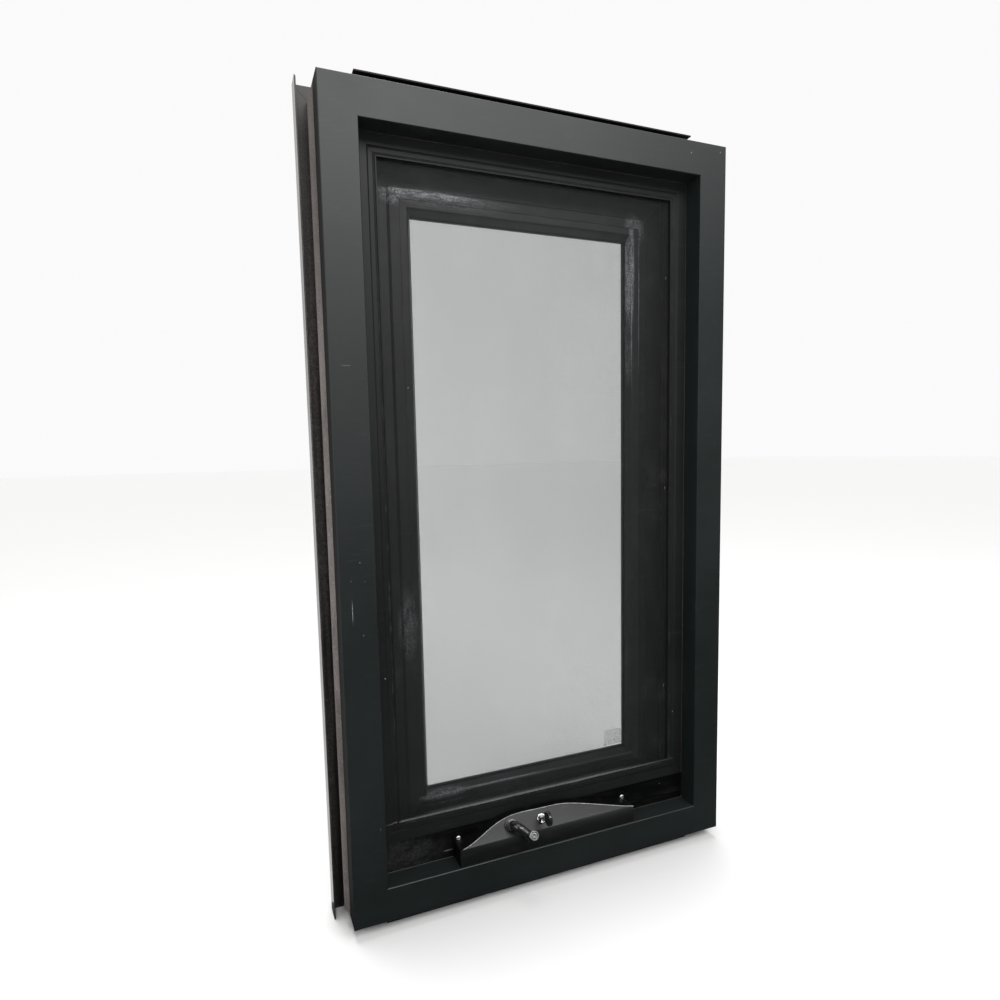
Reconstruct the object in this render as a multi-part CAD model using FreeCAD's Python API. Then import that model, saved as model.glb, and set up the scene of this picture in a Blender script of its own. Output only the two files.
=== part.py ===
import FreeCAD, Part
import math
import os
from FreeCAD import Vector

os.makedirs("parts", exist_ok=True)

# Top hung awning window in thermally broken aluminium, closed, with an
# insect screen on the room side and a chain winder on the sill.
# X runs along the width, Y from the room to the outside, Z up.
# The origin is the middle of the seat plate under the sill.
# Sections are drawn as pairs: inward from the edge of the frame, and back
# from the plane of the trim that faces the room.

# Overall size of the frame, over the perimeter fin
FRAME_WIDTH = 636.0
FRAME_HEIGHT = 1114.0
SEAT_TO_ROOM = 55.0

# Inner half of the frame: flat trim facing the room, hollow behind it
TRIM_STEP = 18.0
TRIM_WIDTH = 47.0
TRIM_DEPTH = 33.0
TRIM_EASE = 0.8
WALL = 2.0

# Polyamide strips that part the inner half from the outer half
BREAK_DEPTH = 17.0
BREAK_BULGE = 6.0
BREAK_STRIP = 3.0
BULGE_END = 8.0
BREAK_INNER_DEPTH = 11.0
BULGE_STEPS = 8

# Outer half of the frame with screen ledge, sash stop, fin, lip and plates
OUTER_DEPTH = 104.0
SHOULDER = 20.0
LEDGE = 7.0
STOP_REACH = 21.0
STOP_FRONT = 60.0
STOP_BACK = 64.0
FIN_FRONT = 83.0
FIN_BACK = 85.0
LIP_DEPTH = 26.5
PLATE_DEPTH = 61.0
PLATE_CUT = 66.0
STOP_SCREW_INSET = 6.0
STOP_SCREW_PITCH = 331.0
STOP_SCREW_MIDDLE = 583.0
STOP_SCREW_R = 3.5
STOP_SCREW_HEAD = 2.5
WEEP_X = 180.0
WEEP_LENGTH = 28.0
WEEP_HEIGHT = 5.0
WEEP_RISE = 12.0

# Sash with a nose on the room side and a lip over the frame outside
SASH_GAP = 14.0
SASH_RISE = 4.0
SASH_FACE = 70.0
NOSE_RISE = 4.0
NOSE_WIDTH = 13.0
NOSE_SLOPE = 3.0
SASH_WALL = 2.0
SASH_BACK = 118.0
LIP_CLEAR = 4.0
LIP_COVER = 9.0
LIP_PLATE = 3.0
LEG = 3.0
LEG_BEVEL = 17.0
HOLLOW_CHAMFER = 8.0

# Pane, gaskets and beads
SIGHT_LINE = 146.0
GLASS_FACE = 81.0
PANE = 5.0
GLASS_BITE = 10.0
POCKET_GAP = 3.0
GASKET = 3.0
GASKET_WIDTH = 5.0
BEAD_WIDTH = 17.5
BEAD_SLOPE = 5.0
BEAD_WALL = 3.0
BEAD_WEB = 5.0
BEAD_EASE = 2.5
BEAD_FOOT = 3.0
BEAD_SEAT = 6.0
FIT = 0.3

# Insect screen
SCREEN_DEPTH = 11.0
SCREEN_MEMBER = 27.5
SCREEN_GAP = 0.5
SCREEN_FLAT = 15.0
SCREEN_STEP = 2.0
SPLINE_WIDTH = 3.0
SPLINE_DEPTH = 3.0
SCREEN_LIP = 2.0
SCREEN_LIP_BACK = 1.0
SCREEN_WALL = 1.5
MESH_BACK_SET = 6.0
MESH_THICKNESS = 0.6
MESH_COLUMNS = 5
MESH_ROWS = 10
MESH_BAR = 2.0

# Raised part of the sill behind the winder, with a groove near its foot
UPSTAND_HEIGHT = 43.0
FOOT_GAP = 3.5
GROOVE_RISE = 9.0
GROOVE = 1.0

# Friction stays in the side gaps
STAY_WIDTH = 18.0
STAY_TRACK_LENGTH = 420.0
STAY_ARM_LENGTH = 380.0
STAY_LINK_LENGTH = 300.0
STAY_LINK_OFFSET = 40.0
STAY_PLATE = 2.5
STAY_STEP = 3.5
STAY_BACK_SET = 8.0
STAY_TOP_GAP = 10.0
STAY_PIN_R = 4.0
STAY_PIN_HEIGHTS = (60.0, 320.0)

# Chain winder: height of its outline above the front wall, along its length
WINDER_FRONT = 3.0
WINDER_WALL_HEIGHT = 25.0
WINDER_FACE_ANGLE = 57.0
WINDER_CAST = 2.5
HUMP = (
    (-148.5, 0.0),
    (-123.0, 6.6),
    (-94.0, 17.8),
    (-65.0, 24.4),
    (-22.0, 24.9),
    (20.0, 23.7),
    (55.0, 17.8),
    (97.0, 8.5),
    (138.5, 0.0),
)
EAR_THICK = 2.0
EAR_R = 8.0
SCREW_X = (-142.0, 135.0)
SCREW_RISE = 27.0
SCREW_R = 4.0
SCREW_HEAD = 2.2
SCREW_POCKET = 1.0

# Crank on an axis square to the sloped face of the winder
CRANK_X = -68.0
CRANK_UP = 16.0
CRANK_RADIUS = 28.5
CRANK_TURN = 46.7
BOSS_R = 9.2
BOSS_TOP_R = 8.2
BOSS_RISE = 5.0
BOSS_STEP = 1.5
HUB_R = 7.8
HUB_NECK_R = 6.8
HUB_RING = 3.0
HUB_RISE = 6.0
ARM_R = 6.4
ARM_BEND_R = 13.0
ARM_RISE = 20.0
EYE_R = 7.0
EYE_HALF = 6.6
KNOB_R = 7.6
KNOB_LENGTH = 8.5
KNOB_EASE = 1.2
KNOB_GROOVE_R = 5.0
KNOB_CAP_R = 4.0
KNOB_GROOVE = 1.2
RIVET_R = 2.0

# Key lock beside the crank
LOCK_X = -18.8
LOCK_UP = 15.1
LOCK_R = 7.1
LOCK_RISE = 3.5
LOCK_EASE = 0.8
LOCK_GROOVE_R = 5.2
LOCK_PLUG_R = 4.6
LOCK_GROOVE = 0.8
KEYWAY_WIDTH = 2.4
KEYWAY_LENGTH = 8.0
KEYWAY_DEPTH = 2.0
KEY_THICK = 1.8
KEY_BLADE = 6.0
KEY_REACH = 28.0
KEY_SAG = 2.7
KEY_HEAD_R = 10.0
KEY_HEAD_THICK = 4.4
KEY_HOLE_R = 2.0
KEY_HOLE_OUT = 6.0

HALF = FRAME_WIDTH / 2
TRIM_INNER = TRIM_STEP + TRIM_WIDTH
OPENING_HALF = HALF - TRIM_INNER
FRAME = (-HALF, HALF, 0.0, FRAME_HEIGHT)
SASH = (-HALF, HALF, SASH_RISE, FRAME_HEIGHT)
SIDES = ("head", "sill", "left", "right")
MITRE_REACH = SIGHT_LINE + TRIM_WIDTH


def depth(back):
    # Y of a plane that lies this far behind the room face
    return back - SEAT_TO_ROOM


def box(x0, x1, front, back, z0, z1):
    corner = Vector(min(x0, x1), depth(front), z0)
    return Part.makeBox(abs(x1 - x0), back - front, z1 - z0, corner)


def rectangle(u0, u1, front, back):
    return [(u0, front), (u1, front), (u1, back), (u0, back)]


def closed_face(points):
    return Part.Face(Part.makePolygon(points + points[:1]))


def section_face(side, ring_box, outline):
    # Section of the member on one side of a ring, at the member's near end
    x0, x1, z0, z1 = ring_box
    points = []
    for inward, back in outline:
        x = {"left": x0 + inward, "right": x1 - inward}.get(side, x0)
        z = {"sill": z0 + inward, "head": z1 - inward}.get(side, z0)
        points.append(Vector(x, depth(back), z))
    return closed_face(points)


def mitre_space(side, ring_box):
    # Space between the two mitre planes of one side
    x0, x1, z0, z1 = ring_box
    near, far = {"left": ((x0, z0), (x0, z1)), "right": ((x1, z0), (x1, z1)),
                 "sill": ((x0, z0), (x1, z0)), "head": ((x0, z1), (x1, z1))}[side]
    points = []
    for (x, z), shift in ((near, MITRE_REACH), (far, MITRE_REACH), (far, -MITRE_REACH), (near, -MITRE_REACH)):
        points.append(Vector(x + shift * math.copysign(1, x), depth(-MITRE_REACH),
                             z + shift * math.copysign(1, z - z1 / 2)))
    return closed_face(points).extrude(Vector(0, 2 * MITRE_REACH, 0))


def member(side, ring_box, outline, hollow=None):
    # Mitred length of extrusion for one side of a rectangular ring
    x0, x1, z0, z1 = ring_box
    run = Vector(0, 0, z1 - z0) if side in ("left", "right") else Vector(x1 - x0, 0, 0)
    solid = section_face(side, ring_box, outline).extrude(run)
    if hollow:
        solid = solid.cut(section_face(side, ring_box, hollow).extrude(run))
    return solid.common(mitre_space(side, ring_box))


def ring(ring_box, outline):
    # Closed frame from one section, used for gaskets and seals
    solid = member(SIDES[0], ring_box, outline)
    for side in SIDES[1:]:
        solid = solid.fuse(member(side, ring_box, outline))
    return solid.removeSplitter()


def turned(profile):
    # Solid of revolution about Z from pairs of radius and rise
    outline = closed_face([Vector(radius, 0, rise) for radius, rise in profile])
    return outline.revolve(Vector(0, 0, 0), Vector(0, 0, 1), 360)


def save(shape, name):
    shape.exportStep("parts/" + name + ".step")


# Inner half of the frame, four mitred hollow lengths with eased edges
trim_outline = [
    (TRIM_STEP, TRIM_EASE),
    (TRIM_STEP + TRIM_EASE, 0.0),
    (TRIM_INNER - TRIM_EASE, 0.0),
    (TRIM_INNER, TRIM_EASE),
    (TRIM_INNER, TRIM_DEPTH),
    (TRIM_STEP, TRIM_DEPTH),
]
trim_hollow = rectangle(TRIM_STEP + WALL, TRIM_INNER - WALL, WALL, TRIM_DEPTH - WALL)
for side in SIDES:
    save(member(side, FRAME, trim_outline, trim_hollow), "inner_frame_" + side)

# Thermal break: a flat outer and inner strip on each side; on the jambs the
# outer strip bulges outward and the bulge stops short of both corners
bulge = []
for step in range(BULGE_STEPS + 1):
    share = step / BULGE_STEPS
    swell = BREAK_BULGE * math.sin(math.pi * share)
    bulge.append((TRIM_STEP - swell, TRIM_DEPTH + BREAK_DEPTH * share))
break_back = TRIM_DEPTH + BREAK_DEPTH
ledge_front = TRIM_DEPTH + BREAK_INNER_DEPTH
bulge_foot = TRIM_STEP + BULGE_END
outer_strip = rectangle(TRIM_STEP, TRIM_STEP + BREAK_STRIP, TRIM_DEPTH, break_back)
inner_strip = rectangle(TRIM_INNER - BREAK_STRIP, TRIM_INNER, TRIM_DEPTH, ledge_front)
for side in SIDES:
    outer = member(side, FRAME, outer_strip)
    if side in ("left", "right"):
        swollen = section_face(side, (-HALF, HALF, bulge_foot, FRAME_HEIGHT), bulge)
        outer = outer.fuse(swollen.extrude(Vector(0, 0, FRAME_HEIGHT - 2 * bulge_foot))).removeSplitter()
    save(Part.makeCompound([outer, member(side, FRAME, inner_strip)]), "thermal_break_" + side)

# Outer half of the frame with its fin, which has a lip on the jambs
body_outline = [
    (TRIM_STEP, break_back),
    (TRIM_INNER - SHOULDER, break_back),
    (TRIM_INNER - SHOULDER, ledge_front),
    (TRIM_INNER + LEDGE, ledge_front),
    (TRIM_INNER + LEDGE, ledge_front + WALL),
    (TRIM_INNER, ledge_front + WALL),
    (TRIM_INNER, STOP_FRONT),
    (TRIM_INNER + STOP_REACH, STOP_FRONT),
    (TRIM_INNER + STOP_REACH, STOP_BACK),
    (TRIM_INNER, STOP_BACK),
    (TRIM_INNER, OUTER_DEPTH),
    (TRIM_STEP, OUTER_DEPTH),
    (TRIM_STEP, FIN_BACK),
    (0.0, FIN_BACK),
    (0.0, FIN_FRONT),
    (TRIM_STEP, FIN_FRONT),
]
body_hollow = rectangle(TRIM_STEP + WALL, TRIM_INNER - WALL, break_back + WALL, OUTER_DEPTH - WALL)
lip_outline = rectangle(0.0, WALL, FIN_BACK - LIP_DEPTH, FIN_BACK)
for side in SIDES:
    bar = member(side, FRAME, body_outline, body_hollow)
    if side in ("left", "right"):
        bar = bar.fuse(member(side, FRAME, lip_outline))
    if side == "sill":
        weep_foot = TRIM_STEP + WEEP_RISE
        for x in (-WEEP_X, WEEP_X):
            bar = bar.cut(box(x - WEEP_LENGTH / 2, x + WEEP_LENGTH / 2, OUTER_DEPTH - 2 * WALL, SASH_BACK,
                              weep_foot, weep_foot + WEEP_HEIGHT))
    save(bar.removeSplitter(), "outer_frame_" + side)

# Flat plates on the outer edge of the fin at the head and the sill, cut
# square short of the corners
plate_half = HALF - PLATE_CUT
plates = []
for z in (0.0, FRAME_HEIGHT - WALL):
    plates.append(box(-plate_half, plate_half, FIN_FRONT - PLATE_DEPTH, FIN_FRONT, z, z + WALL))
save(Part.makeCompound(plates), "fixing_plates")

# Screws in the stop of both jambs, seen through the screen
stop_edge = TRIM_INNER + STOP_REACH
screw_x = HALF - stop_edge + STOP_SCREW_INSET
stop_screws = []
for x in (-screw_x, screw_x):
    for row in (-1, 0, 1):
        centre = Vector(x, depth(STOP_FRONT), STOP_SCREW_MIDDLE + row * STOP_SCREW_PITCH)
        stop_screws.append(Part.makeCylinder(STOP_SCREW_R, STOP_SCREW_HEAD, centre, Vector(0, -1, 0)))
save(Part.makeCompound(stop_screws), "stop_screws")

# Sash, four mitred lengths
sash_edge = TRIM_INNER + SASH_GAP
sash_lip_edge = TRIM_INNER - LIP_COVER
pocket = SIGHT_LINE - GLASS_BITE - POCKET_GAP
glass_back = GLASS_FACE + PANE
leg_front = glass_back + GASKET
nose_inner = SIGHT_LINE - BEAD_WIDTH
nose_outer = nose_inner - NOSE_WIDTH
nose_face = SASH_FACE - NOSE_RISE
lip_front = OUTER_DEPTH + LIP_CLEAR
sash_outline = [
    (sash_edge, SASH_FACE),
    (nose_outer - NOSE_SLOPE, SASH_FACE),
    (nose_outer, nose_face),
    (nose_inner, nose_face),
    (nose_inner, nose_face + BEAD_SEAT),
    (pocket, nose_face + BEAD_SEAT),
    (pocket, leg_front),
    (SIGHT_LINE, leg_front),
    (SIGHT_LINE, leg_front + LEG),
    (SIGHT_LINE - LEG_BEVEL, SASH_BACK),
    (sash_edge, SASH_BACK),
    (sash_edge, lip_front + LIP_PLATE),
    (sash_lip_edge, lip_front + LIP_PLATE),
    (sash_lip_edge, lip_front),
    (sash_edge, lip_front),
]
sash_hollow = [
    (sash_edge + SASH_WALL, SASH_FACE + SASH_WALL),
    (pocket - SASH_WALL, SASH_FACE + SASH_WALL),
    (pocket - SASH_WALL, SASH_BACK - HOLLOW_CHAMFER),
    (SIGHT_LINE - LEG_BEVEL - SASH_WALL, SASH_BACK - SASH_WALL),
    (sash_edge + SASH_WALL, SASH_BACK - SASH_WALL),
]
sash_names = {"head": "sash_top_rail", "sill": "sash_bottom_rail",
              "left": "sash_left_stile", "right": "sash_right_stile"}
for side in SIDES:
    save(member(side, SASH, sash_outline, sash_hollow), sash_names[side])

# Glazing beads clipped into the sash on the room side
bead_nose = SIGHT_LINE - BEAD_SLOPE
bead_back = GLASS_FACE - GASKET
bead_outline = [
    (nose_inner + FIT, nose_face),
    (bead_nose - BEAD_EASE, nose_face),
    (bead_nose, nose_face + BEAD_EASE),
    (SIGHT_LINE, bead_back),
    (pocket + FIT, bead_back),
    (pocket + FIT, bead_back - BEAD_FOOT),
    (SIGHT_LINE - BEAD_WEB, bead_back - BEAD_FOOT),
    (bead_nose - BEAD_WEB, nose_face + BEAD_WALL),
    (nose_inner + FIT, nose_face + BEAD_WALL),
]
bead_names = {"head": "glazing_bead_top", "sill": "glazing_bead_bottom",
              "left": "glazing_bead_left", "right": "glazing_bead_right"}
for side in SIDES:
    save(member(side, SASH, bead_outline), bead_names[side])

# Pane between two gaskets, held by the beads against the leg of the sash
glass_edge = SIGHT_LINE - GLASS_BITE
save(box(glass_edge - HALF, HALF - glass_edge, GLASS_FACE, glass_back,
         SASH_RISE + glass_edge, FRAME_HEIGHT - glass_edge), "glass_pane")
gaskets = []
for front in (bead_back, glass_back):
    gaskets.append(ring(SASH, rectangle(SIGHT_LINE - GASKET_WIDTH, SIGHT_LINE, front, front + GASKET)))
save(Part.makeCompound(gaskets), "glazing_gaskets")

# Seals of the closed sash: one on the stop, one under the outer lip
save(ring(FRAME, rectangle(stop_edge - GASKET_WIDTH, stop_edge, STOP_BACK, SASH_FACE)), "inner_sash_seal")
save(ring(FRAME, rectangle(TRIM_INNER - GASKET_WIDTH, TRIM_INNER, OUTER_DEPTH, lip_front)), "outer_sash_seal")

# Friction stays: track, arm and link stacked on pins that bridge the gap
stay_top = FRAME_HEIGHT - sash_edge - STAY_TOP_GAP
stay_front = SASH_FACE + STAY_BACK_SET
for side, sign in (("left", 1), ("right", -1)):
    jamb = sign * (TRIM_INNER - HALF)
    stay = None
    layers = ((0.0, STAY_TRACK_LENGTH), (STAY_LINK_OFFSET, STAY_LINK_LENGTH), (0.0, STAY_ARM_LENGTH))
    for level, (start, length) in enumerate(layers):
        near = jamb + sign * level * STAY_STEP
        plate = box(near, near + sign * STAY_PLATE, stay_front, stay_front + STAY_WIDTH,
                    stay_top - start - length, stay_top - start)
        stay = plate if stay is None else stay.fuse(plate)
    for drop in STAY_PIN_HEIGHTS:
        foot = Vector(jamb, depth(stay_front + STAY_WIDTH / 2), stay_top - drop)
        stay = stay.fuse(Part.makeCylinder(STAY_PIN_R, SASH_GAP, foot, Vector(sign, 0, 0)))
    save(stay.removeSplitter(), "friction_stay_" + side)

# Raised part of the sill behind the winder, a hollow bar between the jambs
screen_front = TRIM_DEPTH
screen_back = screen_front + SCREEN_DEPTH
upstand_top = TRIM_INNER + UPSTAND_HEIGHT
opening = (-OPENING_HALF, OPENING_HALF, 0.0, FRAME_HEIGHT)
groove_foot = TRIM_INNER + GROOVE_RISE
upstand_outline = [
    (TRIM_INNER, screen_front + GROOVE),
    (TRIM_INNER + FOOT_GAP, screen_front + GROOVE),
    (TRIM_INNER + FOOT_GAP, screen_front),
    (groove_foot, screen_front),
    (groove_foot, screen_front + GROOVE),
    (groove_foot + GROOVE, screen_front + GROOVE),
    (groove_foot + GROOVE, screen_front),
    (upstand_top, screen_front),
    (upstand_top, screen_back),
    (TRIM_INNER, screen_back),
]
upstand_hollow = rectangle(TRIM_INNER + WALL, upstand_top - WALL, screen_front + GROOVE + WALL,
                           screen_back - WALL)
along = Vector(2 * OPENING_HALF, 0, 0)
upstand = section_face("sill", opening, upstand_outline).extrude(along)
upstand = upstand.cut(section_face("sill", opening, upstand_hollow).extrude(along))
save(upstand, "sill_upstand")

# Insect screen: four mitred members, spline and mesh panel
SCREEN = (SCREEN_GAP - OPENING_HALF, OPENING_HALF - SCREEN_GAP,
          upstand_top, FRAME_HEIGHT - TRIM_INNER - SCREEN_GAP)
groove_edge = SCREEN_MEMBER - SCREEN_LIP
groove_start = groove_edge - SPLINE_WIDTH
groove_back = screen_front + SCREEN_STEP + SPLINE_DEPTH
screen_outline = [
    (0.0, screen_front),
    (SCREEN_FLAT, screen_front),
    (SCREEN_FLAT + SCREEN_STEP, screen_front + SCREEN_STEP),
    (groove_start, screen_front + SCREEN_STEP),
    (groove_start, groove_back),
    (groove_edge, groove_back),
    (groove_edge, screen_front + SCREEN_LIP_BACK),
    (SCREEN_MEMBER, screen_front + SCREEN_LIP_BACK),
    (SCREEN_MEMBER, screen_back),
    (0.0, screen_back),
]
screen_hollow = rectangle(SCREEN_WALL, groove_start - SCREEN_WALL,
                          screen_front + SCREEN_STEP + SCREEN_WALL, screen_back - SCREEN_WALL)
screen_names = {"head": "screen_top", "sill": "screen_bottom", "left": "screen_left", "right": "screen_right"}
for side in SIDES:
    save(member(side, SCREEN, screen_outline, screen_hollow), screen_names[side])
spline_outline = rectangle(groove_start, groove_edge, groove_back - SPLINE_DEPTH, groove_back)
save(ring(SCREEN, spline_outline), "screen_spline")

# Mesh as a thin panel with a plain grid of openings
mesh_front = screen_front + MESH_BACK_SET
mesh_left, mesh_right = SCREEN[0] + SCREEN_MEMBER, SCREEN[1] - SCREEN_MEMBER
mesh_foot, mesh_top = SCREEN[2] + SCREEN_MEMBER, SCREEN[3] - SCREEN_MEMBER
mesh = box(mesh_left, mesh_right, mesh_front, mesh_front + MESH_THICKNESS, mesh_foot, mesh_top)
step_x = (mesh_right - mesh_left - MESH_BAR) / MESH_COLUMNS
step_z = (mesh_top - mesh_foot - MESH_BAR) / MESH_ROWS
cells = []
for column in range(MESH_COLUMNS):
    for row in range(MESH_ROWS):
        x = mesh_left + MESH_BAR + column * step_x
        z = mesh_foot + MESH_BAR + row * step_z
        cells.append(box(x, x + step_x - MESH_BAR, mesh_front, mesh_front + MESH_THICKNESS,
                         z, z + step_z - MESH_BAR))
save(mesh.cut(Part.makeCompound(cells)), "screen_mesh")

# Chain winder cover: the outline on a flat base, its front cut back to the
# sloped face; the casting is open underneath
wall_top = TRIM_INNER + WINDER_WALL_HEIGHT
slope = math.radians(WINDER_FACE_ANGLE)
up_slope = Vector(0, math.cos(slope), math.sin(slope))
out_of_face = Vector(0, -math.sin(slope), math.cos(slope))
face_edge = Vector(0, depth(WINDER_FRONT), wall_top)
winder_back = screen_front - EAR_THICK


def winder_solid(skin):
    # Body of the winder with each face moved in by the given thickness
    front = depth(WINDER_FRONT + skin)
    base = TRIM_INNER - skin
    top = [Vector(x - math.copysign(skin, x), front, wall_top + rise - skin) for x, rise in HUMP]
    crest = Part.BSplineCurve()
    crest.interpolate(top)
    sides = [top[-1], Vector(top[-1].x, front, base), Vector(top[0].x, front, base), top[0]]
    outline = Part.Wire([crest.toShape()] + Part.makePolygon(sides).Edges)
    solid = Part.Face(outline).extrude(Vector(0, winder_back - WINDER_FRONT - 2 * skin, 0))
    foot = face_edge - out_of_face * skin - Vector(HALF, 0, 0)
    low, high = foot - up_slope * HALF, foot + up_slope * HALF
    above = closed_face([low, high, high + out_of_face * HALF, low + out_of_face * HALF])
    return solid.cut(above.extrude(Vector(FRAME_WIDTH, 0, 0)))


# Back plate of the winder with a round ear and a screw at each end; the
# cover is a shell open underneath, with a pocket over each screw head
cover = winder_solid(0.0).cut(winder_solid(WINDER_CAST))
screw_level = TRIM_INNER + SCREW_RISE
back_plate = box(SCREW_X[0], SCREW_X[1], winder_back, screen_front, TRIM_INNER, wall_top)
screws = []
for x in SCREW_X:
    centre = Vector(x, depth(winder_back), screw_level)
    back_plate = back_plate.fuse(box(x - EAR_R, x + EAR_R, winder_back, screen_front, TRIM_INNER, screw_level))
    back_plate = back_plate.fuse(Part.makeCylinder(EAR_R, EAR_THICK, centre, Vector(0, 1, 0)))
    screws.append(Part.makeCylinder(SCREW_R, SCREW_HEAD, centre, Vector(0, -1, 0)))
    pocket_size = SCREW_HEAD + SCREW_POCKET
    cover = cover.cut(Part.makeCylinder(SCREW_R + SCREW_POCKET, pocket_size, centre, Vector(0, -1, 0)))
save(cover, "winder_cover")
save(back_plate.removeSplitter(), "winder_back_plate")
save(Part.makeCompound(screws), "winder_screws")


def on_face(shape, place):
    # Part made upright at the origin, set square on the sloped face
    shape.rotate(Vector(0, 0, 0), Vector(1, 0, 0), WINDER_FACE_ANGLE)
    shape.translate(place)
    return shape


def crank_point(radius, rise):
    # Place on the crank by its distance from the axis and from the face
    turn = math.radians(CRANK_TURN)
    along = Vector(math.cos(turn), 0, 0) - up_slope * math.sin(turn)
    return crank_foot + along * radius + out_of_face * rise


# Crank: fixed boss, a hub with a bent arm and an eye, and a turned knob
crank_foot = face_edge + up_slope * CRANK_UP + Vector(CRANK_X, 0, 0)
boss = turned([(0, 0), (BOSS_R, 0), (BOSS_R, BOSS_RISE - BOSS_STEP), (BOSS_TOP_R, BOSS_RISE - BOSS_STEP),
               (BOSS_TOP_R, BOSS_RISE), (0, BOSS_RISE)])
save(on_face(boss, crank_foot), "crank_boss")
hub = turned([(0, 0), (HUB_R, 0), (HUB_R, HUB_RING), (HUB_NECK_R, HUB_RING), (HUB_NECK_R, HUB_RISE),
              (0, HUB_RISE)])
hub_foot = crank_point(0, BOSS_RISE + FIT)
bend_foot = crank_point(0, ARM_RISE - ARM_BEND_R)
bend_side = ARM_BEND_R * (1 - math.cos(math.pi / 4))
bend_end = crank_point(ARM_BEND_R, ARM_RISE)
path = Part.Wire([
    Part.makeLine(hub_foot, bend_foot),
    Part.Arc(bend_foot, crank_point(bend_side, ARM_RISE - bend_side), bend_end).toShape(),
    Part.makeLine(bend_end, crank_point(CRANK_RADIUS, ARM_RISE)),
])
arm = path.makePipeShell([Part.Wire([Part.makeCircle(ARM_R, hub_foot, out_of_face)])], True, False)
eye = Part.makeCylinder(EYE_R, 2 * EYE_HALF, crank_point(CRANK_RADIUS, ARM_RISE - EYE_HALF), out_of_face)
save(arm.fuse(on_face(hub, hub_foot)).fuse(eye).removeSplitter(), "crank_arm")
knob_floor = KNOB_LENGTH - KNOB_GROOVE
knob = turned([
    (0, 0), (KNOB_R, 0), (KNOB_R, KNOB_LENGTH - KNOB_EASE), (KNOB_R - KNOB_EASE, KNOB_LENGTH),
    (KNOB_GROOVE_R, KNOB_LENGTH), (KNOB_GROOVE_R, knob_floor), (KNOB_CAP_R, knob_floor),
    (KNOB_CAP_R, KNOB_LENGTH), (RIVET_R, KNOB_LENGTH), (RIVET_R, knob_floor), (0, knob_floor),
])
save(on_face(knob, crank_point(CRANK_RADIUS, ARM_RISE + EYE_HALF)), "crank_knob")

# Key lock beside the crank, with its key in the keyway
lock_foot = face_edge + up_slope * LOCK_UP + Vector(LOCK_X, 0, 0)
keyway_foot = LOCK_RISE - KEYWAY_DEPTH
lock_floor = LOCK_RISE - LOCK_GROOVE
barrel = turned([(0, 0), (LOCK_R, 0), (LOCK_R, LOCK_RISE - LOCK_EASE), (LOCK_R - LOCK_EASE, LOCK_RISE),
                 (LOCK_GROOVE_R, LOCK_RISE), (LOCK_GROOVE_R, lock_floor), (LOCK_PLUG_R, lock_floor),
                 (LOCK_PLUG_R, LOCK_RISE), (0, LOCK_RISE)])
keyway = Part.makeBox(KEYWAY_WIDTH, KEYWAY_LENGTH, LOCK_RISE,
                      Vector(-KEYWAY_WIDTH / 2, -KEYWAY_LENGTH / 2, keyway_foot))
save(on_face(barrel.cut(keyway), lock_foot), "lock_barrel")
blade = Part.makeBox(KEY_THICK, KEY_BLADE, KEY_REACH - keyway_foot,
                     Vector(-KEY_THICK / 2, -KEY_BLADE / 2, keyway_foot))
head_side = Vector(-KEY_HEAD_THICK / 2, -KEY_SAG, KEY_REACH)
head = Part.makeCylinder(KEY_HEAD_R, KEY_HEAD_THICK, head_side, Vector(1, 0, 0))
hole_side = head_side + Vector(0, 0, KEY_HOLE_OUT)
hole = Part.makeCylinder(KEY_HOLE_R, KEY_HEAD_THICK, hole_side, Vector(1, 0, 0))
save(on_face(blade.fuse(head).cut(hole), lock_foot), "lock_key")
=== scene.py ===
import math

import bpy
from mathutils import Matrix, Vector


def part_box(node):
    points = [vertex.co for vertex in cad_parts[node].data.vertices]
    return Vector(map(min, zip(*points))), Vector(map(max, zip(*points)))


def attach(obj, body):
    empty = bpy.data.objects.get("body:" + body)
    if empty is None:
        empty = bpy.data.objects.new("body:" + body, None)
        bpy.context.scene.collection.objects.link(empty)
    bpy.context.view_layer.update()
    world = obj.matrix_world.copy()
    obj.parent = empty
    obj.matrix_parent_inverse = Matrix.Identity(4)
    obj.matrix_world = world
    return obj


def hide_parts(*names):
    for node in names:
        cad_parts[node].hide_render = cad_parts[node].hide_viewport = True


# Top hung awning window in dark powder-coated aluminium, seen from the room
# side: frame, glazed sash, insect screen and chain winder, on a pale floor.
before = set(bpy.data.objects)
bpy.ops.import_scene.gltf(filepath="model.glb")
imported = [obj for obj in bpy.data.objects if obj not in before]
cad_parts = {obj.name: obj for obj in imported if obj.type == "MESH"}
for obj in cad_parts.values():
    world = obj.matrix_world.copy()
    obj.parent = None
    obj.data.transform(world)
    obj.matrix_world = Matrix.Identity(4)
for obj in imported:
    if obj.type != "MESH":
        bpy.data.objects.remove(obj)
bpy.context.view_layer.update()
bpy.ops.object.select_all(action="DESELECT")


# The inner half of the frame is four mitred hollow aluminium lengths with a
# flat satin trim facing the room. The coat is a charcoal powder with a fine
# orange-peel grain, a thin film of dust and a few small scratches.
MM = 0.001
ROOM_FACE = -55 * MM
WELD_GAP = 0.01 * MM
FLAT_WITHIN = math.radians(0.5)
CORNER_OVER = math.radians(35)
SQUARELY = 0.9


def shader_group(name, inputs, outputs):
    group = bpy.data.node_groups.new(name, "ShaderNodeTree")
    for label, kind, default in inputs:
        socket = group.interface.new_socket(name=label, in_out="INPUT", socket_type=kind)
        if default is not None:
            socket.default_value = default
    for label, kind in outputs:
        group.interface.new_socket(name=label, in_out="OUTPUT", socket_type=kind)
    return group, group.nodes.new("NodeGroupInput"), group.nodes.new("NodeGroupOutput")


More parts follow.
